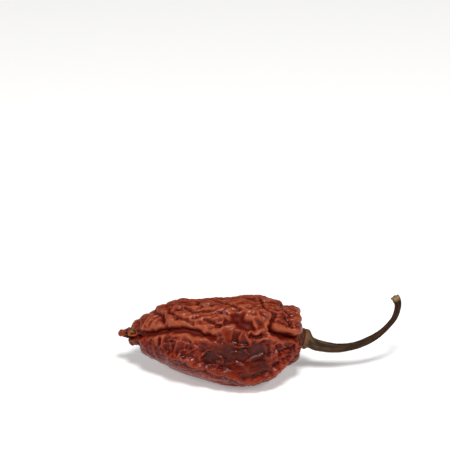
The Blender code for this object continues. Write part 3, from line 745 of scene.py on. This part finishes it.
def dried_pod_skin():
    """Dried pepper skin: a waxy, leathery rind, sun-dried over its pulp.

    The thin skin is brick red, and purple-brown where it lies on dried pulp. Orange-red painted light lies
    on its ridges, and painted shade darkens its dents, folds, grooves, low half and the hollow. The wax is
    mostly worn off, so its highlights are small and weak.
    """
    material, tree, shader = new_material("dried_pepper_skin")
    spot = add_node(tree, "ShaderNodeTexCoord").outputs["Object"]
    facts = {}
    for name in ("ridge", "hollow", "low", "crevice", "frill", "tip", "deep", "neck"):
        facts[name] = add_node(tree, "ShaderNodeAttribute", attribute_name=name).outputs["Fac"]

    # Patches of skin that dried at a different pace are about 6 mm across. Flecks of wax are a few tenths
    # of a millimetre, which wouldn't show, so they are drawn 1.11 mm wide.
    patches = {"Vector": spot, "Scale": scale_for(6.25), "Detail": 4, "Roughness": 0.6}
    patches = add_node(tree, "ShaderNodeTexNoise", patches).outputs["Fac"]
    flecks = {"Vector": spot, "Scale": scale_for(1.11), "Detail": 3, "Roughness": 0.65}
    flecks = add_node(tree, "ShaderNodeTexNoise", flecks).outputs["Fac"]
    paler = facts["ridge"]
    for pattern, strength in ((patches, 0.9), (flecks, 0.35)):
        centred = add_node(tree, "ShaderNodeMath", {0: pattern, 1: 0.5}, operation="SUBTRACT").outputs[0]
        summed = {0: centred, 1: strength, 2: paler}
        paler = add_node(tree, "ShaderNodeMath", summed, operation="MULTIPLY_ADD").outputs[0]

    # Painted shade in the dents and painted light on the ridges: from dark dents, through brick red,
    # to orange-red ridges.
    ramp = add_node(tree, "ShaderNodeValToRGB", {"Fac": paler})
    stops = ((0.0, "#430D05"), (0.3, "#5C190B"), (0.55, "#702717"), (0.8, "#7F3320"), (1.0, "#93462C"))
    elements = ramp.color_ramp.elements
    elements.remove(elements[1])
    elements[0].position = stops[0][0]
    elements[0].color = rgb(stops[0][1])
    for position, colour in stops[1:]:
        elements.new(position).color = rgb(colour)
    colour = ramp.outputs["Color"]

    # The low half is painted duller, as shade, and skin on pulp has its own two browns, painted darker in
    # its dents as shade. The other colours are laid over the skin's in turn, each where its fact says.
    browner = {"Value": paler, "From Min": 0.3, "From Max": 1.05}
    browner = add_node(tree, "ShaderNodeMapRange", browner).outputs[0]
    on_pulp = {MIX_SHARE: browner, MIX_FIRST: rgb("#360701"), MIX_SECOND: rgb("#6A1D0A")}
    on_pulp = add_node(tree, "ShaderNodeMix", on_pulp, data_type="RGBA").outputs[MIX_RESULT]
    layers = (
        # low: painted shade, multiplied over the lower half
        ("low", rgb("#DEB09C"), "MULTIPLY"),
        # hollow: the skin's purple-brown on pulp, darkened further as painted shade
        ("hollow", on_pulp, "MIX"),
        # deep: painted shade down in the grooves
        ("deep", rgb("#560E04"), "MIX"),
        # crevice: painted shade in the gaps between the tip's knobs
        ("crevice", rgb("#3A1409"), "MIX"),
        ("frill", rgb("#7A5A2C"), "MIX"),
        ("tip", rgb("#762E16"), "MIX"),
        ("neck", rgb("#4E2718"), "MIX"),
    )
    for fact, layer, blend in layers:
        mix = {MIX_SHARE: facts[fact], MIX_FIRST: colour, MIX_SECOND: layer}
        mix = add_node(tree, "ShaderNodeMix", mix, data_type="RGBA", blend_type=blend)
        colour = mix.outputs[MIX_RESULT]
    tree.links.new(colour, shader.inputs["Base Color"])

    # Wax flecks are glossier than the bare rind, and the skin is dull down in its folds.
    gloss = {"Value": flecks, "From Min": 0.3, "From Max": 0.7, "To Min": 0.1, "To Max": 0.34}
    gloss = add_node(tree, "ShaderNodeMapRange", gloss).outputs[0]
    rough = add_node(tree, "ShaderNodeMath", {0: facts["deep"], 1: 0.4, 2: gloss}, operation="MULTIPLY_ADD")
    tree.links.new(rough.outputs[0], shader.inputs["Roughness"])
    shader.inputs["IOR"].default_value = 1.45
    shader.inputs["Specular IOR Level"].default_value = 0.19
    shader.inputs["Subsurface Weight"].default_value = 0.05
    shader.inputs["Subsurface Radius"].default_value = (1.0, 0.25, 0.12)
    shader.inputs["Subsurface Scale"].default_value = 0.6 * MM

    # The rind's crinkles are 0.2 to 0.3 mm apart and its grain under 0.1 mm. Both are too fine to show, so
    # they are drawn 0.91 mm and 0.4 mm wide, and 0.06 mm high.
    cells = {"Vector": spot, "Scale": scale_for(0.91)}
    cells = add_node(tree, "ShaderNodeTexVoronoi", cells, feature="DISTANCE_TO_EDGE")
    crinkle = {"Value": cells.outputs["Distance"], "From Max": 0.3, "To Min": 1.0, "To Max": 0.0}
    crinkle = add_node(tree, "ShaderNodeMapRange", crinkle).outputs[0]
    grain = {"Vector": spot, "Scale": scale_for(0.4), "Detail": 3}
    grain = add_node(tree, "ShaderNodeTexNoise", grain).outputs["Fac"]
    total = add_node(tree, "ShaderNodeMath", {0: crinkle, 1: 0.6, 2: grain}, operation="MULTIPLY_ADD")
    bump = {"Height": total.outputs[0], "Strength": 0.5, "Distance": 0.06 * MM}
    tree.links.new(add_node(tree, "ShaderNodeBump", bump).outputs[0], shader.inputs["Normal"])
    return material


def dried_stem():
    """Dried pepper stem: a woody green stalk, dried olive-brown near the calyx and dark brown beyond.

    Its ribs are worn paler, the furrows between them are dark, and its broken end shows pale, dry fibre.
    The wood has no wax left and hardly any gloss.
    """
    material, tree, shader = new_material("dried_woody_stem")
    spot = add_node(tree, "ShaderNodeTexCoord").outputs["Object"]
    share = add_node(tree, "ShaderNodeAttribute", attribute_name="share").outputs["Fac"]
    ridge = add_node(tree, "ShaderNodeAttribute", attribute_name="ridge").outputs["Fac"]

    # Mottles from drying are about 2 mm long. The furrows' brown comes first, then the ribs', the calyx's
    # pale rim and the dry fibre of the broken end.
    mottle = {"Vector": spot, "Scale": scale_for(2.0), "Detail": 4, "Roughness": 0.6}
    mottle = add_node(tree, "ShaderNodeTexNoise", mottle).outputs["Fac"]
    centred = add_node(tree, "ShaderNodeMath", {0: mottle, 1: 0.5}, operation="SUBTRACT").outputs[0]
    height = add_node(tree, "ShaderNodeMath", {0: centred, 1: 1.2, 2: ridge}, operation="MULTIPLY_ADD")
    beyond = {"Value": share, "From Min": 0.05, "From Max": 0.35}
    beyond = add_node(tree, "ShaderNodeMapRange", beyond).outputs[0]
    tones = []
    for near_calyx, far in (("#33251A", "#22150C"), ("#5C4630", "#3F2A1B")):
        tone = {MIX_SHARE: beyond, MIX_FIRST: rgb(near_calyx), MIX_SECOND: rgb(far)}
        tones.append(add_node(tree, "ShaderNodeMix", tone, data_type="RGBA").outputs[MIX_RESULT])
    colour, ribs = tones
    rim = {"Value": share, "From Min": 0.042, "From Max": 0.0, "To Min": 0.0, "To Max": 0.7}
    rim = add_node(tree, "ShaderNodeMapRange", rim).outputs[0]
    broken = {"Value": share, "From Min": 0.965, "From Max": 0.99}
    broken = add_node(tree, "ShaderNodeMapRange", broken).outputs[0]
    for amount, layer in ((height.outputs[0], ribs), (rim, rgb("#7A5136")), (broken, rgb("#8A6C4C"))):
        mix = {MIX_SHARE: amount, MIX_FIRST: colour, MIX_SECOND: layer}
        colour = add_node(tree, "ShaderNodeMix", mix, data_type="RGBA").outputs[MIX_RESULT]
    tree.links.new(colour, shader.inputs["Base Color"])
    shader.inputs["Roughness"].default_value = 0.7
    shader.inputs["IOR"].default_value = 1.45
    shader.inputs["Specular IOR Level"].default_value = 0.1

    # Wood fibres are about 0.05 mm thick, too fine to show, so the grain is drawn 0.625 mm wide.
    grain = {"Vector": spot, "Scale": scale_for(0.625), "Detail": 4}
    grain = add_node(tree, "ShaderNodeTexNoise", grain).outputs["Fac"]
    bump = {"Height": grain, "Strength": 0.5, "Distance": 0.1 * MM}
    tree.links.new(add_node(tree, "ShaderNodeBump", bump).outputs[0], shader.inputs["Normal"])
    return material


def skin_facts(grid, deep):
    """What the pod's material is told of each point, as shares from 0 to 1.

    ridge: how far it stands out from its surroundings, near and wide, with 0.5 for level; it paints shade
    in
    dents and light on ridges. hollow: where the skin lies on dried pulp, also painted darker as shade. tip
    and
    neck: the two ends. deep: down in a groove, painted dark as shade. low: the lower half, painted duller
    as
    shade. crevice: the gaps between the tip's knobs, painted dark as shade. frill: dry remains of the
    flower, in patches round the tip's upper side.
    """
    normal = normals_of(grid)
    stands_out = 0
    for reach, height in RIDGE_REACHES:
        stands_out = stands_out + ((grid - blur(grid, reach)) * normal).sum(axis=-1) / height
    ridge = np.clip(0.5 + 0.5 * stands_out, 0, 1)
    x, y, z = np.moveaxis(grid, -1, 0)
    along = x + REST_AT
    clock = np.degrees(np.arctan2(z - AXIS_HEIGHT, -y))
    above_keel = within(DARK_SPAN, along) * within(DARK_ZONE, clock)
    hollow = np.maximum(np.minimum(wrinkle_zones(along, clock)[2], 1), above_keel)
    frill = within(FRILL_SPAN, along) * smoothstep(*FRILL_START, clock)
    off_axis = np.hypot(y, z - AXIS_HEIGHT + NECK_DROP)
    return {
        "ridge": ridge,
        "hollow": hollow * (1 - FACET_PALER * smoothstep(*FACET_EDGE, clock)),
        "tip": smoothstep(*TIP_FADE, along),
        "deep": smoothstep(*DEEP_FADE, deep),
        "low": within(LOW_ZONE, clock),
        "crevice": within(CREVICE_SPAN, along) * smoothstep(*CREVICE_RIDGE, ridge),
        "frill": frill * smoothstep(*FRILL_PATCH, smooth_noise(grid / FRILL_SIZE, FRILL_SALT)),
        "neck": smoothstep(*NECK_FADE, off_axis) * smoothstep(*NECK_START, along),
    }


def build_pod():
    """The dried pod, in place of its plain solid."""
    grid, deep = pod_surface()
    made = closed_mesh("wrinkled_pod", grid, dried_pod_skin(), skin_facts(grid, deep))
    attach(made, "root")
    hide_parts("pod")


def build_stem():
    """The calyx and stem, in place of their plain solid."""
    grid, shares, ridges = stem_surface()
    facts = {"ridge": np.clip(0.5 + RIDGE_CONTRAST * ridges, 0, 1), "share": shares[:, None] + 0 * ridges}
    made = closed_mesh("calyx_and_stem", grid, dried_stem(), facts)
    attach(made, "root")
    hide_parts("calyx_stem")


def build_floor():
    """A plain pale floor: a flat square 4 m wide."""
    mesh = bpy.data.meshes.new("floor")
    corners = [(x * FLOOR_HALF, y * FLOOR_HALF, 0) for x, y in ((-1, -1), (1, -1), (1, 1), (-1, 1))]
    mesh.from_pydata(corners, [], [(0, 1, 2, 3)])
    # A sheet of white acrylic, cast between plates and sanded matt, and lit softly from below as a light
    # table is. It stays white and pales the shadows on it.
    material, _, shader = new_material("lit_white_acrylic")
    shader.inputs["Base Color"].default_value = rgb("#F3F2F1")
    shader.inputs["Roughness"].default_value = 0.9
    shader.inputs["Emission Color"].default_value = rgb("#FFFFFF")
    shader.inputs["Emission Strength"].default_value = FLOOR_GLOW
    mesh.materials.append(material)
    floor = bpy.data.objects.new("floor", mesh)
    bpy.context.scene.collection.objects.link(floor)


def add_softbox(name, azimuth, elevation, size, power):
    """A square softbox aimed at the object; azimuth 0 is the front, 90 the right."""
    turn, rise = np.radians(azimuth), np.radians(elevation)
    toward = Vector((np.cos(rise) * np.sin(turn), -np.cos(rise) * np.cos(turn), np.sin(rise)))
    spot = SOFTBOX_DISTANCE * toward
    light = bpy.data.lights.new(name, "AREA")
    light.size = size
    light.energy = power
    lamp = bpy.data.objects.new(name, light)
    lamp.location = spot
    lamp.rotation_mode = "QUATERNION"
    lamp.rotation_quaternion = (-spot).to_track_quat("-Z", "Y")
    bpy.context.scene.collection.objects.link(lamp)


def light_studio():
    """Soft light from above the front and from both sides, and a dim white surround."""
    for settings in SOFTBOXES:
        add_softbox(*settings)
    world = bpy.data.worlds.new("white_surround")
    bpy.context.scene.world = world
    world.use_nodes = True
    world.node_tree.nodes["Background"].inputs["Color"].default_value = rgb("#FFFFFF")
    world.node_tree.nodes["Background"].inputs["Strength"].default_value = SURROUND_STRENGTH
    bpy.context.scene.view_settings.view_transform = "Standard"


def set_camera():
    """A long lens that looks down at the pod.

    The line of sight to the axis over the flat spot comes down at VIEW_PITCH degrees, and that point lands
    on the aim pixel, right of the frame's middle and below it, so the camera stands up and left of it.
    """
    right, down = ((pixel - FRAME_PIXELS / 2) / FOCAL_PIXELS for pixel in (AIM_RIGHT, AIM_DOWN))
    pitch = np.radians(VIEW_PITCH) - np.arctan(down)
    forward = Vector((0, np.cos(pitch), -np.sin(pitch)))
    up = Vector((0, np.sin(pitch), np.cos(pitch)))
    sideways = Vector((1, 0, 0))
    depth = VIEW_DISTANCE * np.cos(np.arctan(down))
    aim = Vector((0, 0, AXIS_HEIGHT * MM))
    spot = aim - forward * depth + up * down * depth - sideways * right * depth
    camera = bpy.data.cameras.new("camera")
    camera.sensor_width = SENSOR_MM
    camera.lens = SENSOR_MM * FOCAL_PIXELS / FRAME_PIXELS
    holder = bpy.data.objects.new("camera", camera)
    bpy.context.scene.collection.objects.link(holder)
    turned = Matrix((sideways, up, -forward)).transposed().to_4x4()
    holder.matrix_world = Matrix.Translation(spot) @ turned
    bpy.context.scene.camera = holder


build_pod()
build_stem()
build_floor()
light_studio()
set_camera()
